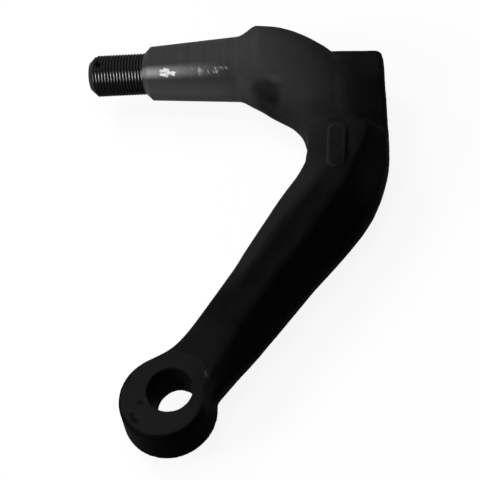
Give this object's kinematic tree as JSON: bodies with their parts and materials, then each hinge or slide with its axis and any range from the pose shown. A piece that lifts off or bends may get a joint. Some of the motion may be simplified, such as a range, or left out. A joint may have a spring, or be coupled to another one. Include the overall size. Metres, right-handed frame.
{
  "type": "steering arm",
  "caption": "One-piece forged steering arm: threaded, tapered shank, thick curved head with a thin corner lug, and a straight bar down to a ball-stud eye.",
  "frame": {"origin": "on the shank's axis, at the small end of its tapered seat", "axes": "+X along the shank towards the head, +Z parallel to the eye's bore, Z = 0 is the parting plane"},
  "size_m": [0.1451, 0.2172, 0.0411],
  "materials": {
    "forged_steel": "dark forged skin with a dull oiled sheen; thread and tapered seat turned bright grey"
  },
  "bodies": {
    "root": {"steering_arm": "forged_steel"}
  },
  "joints": []
}
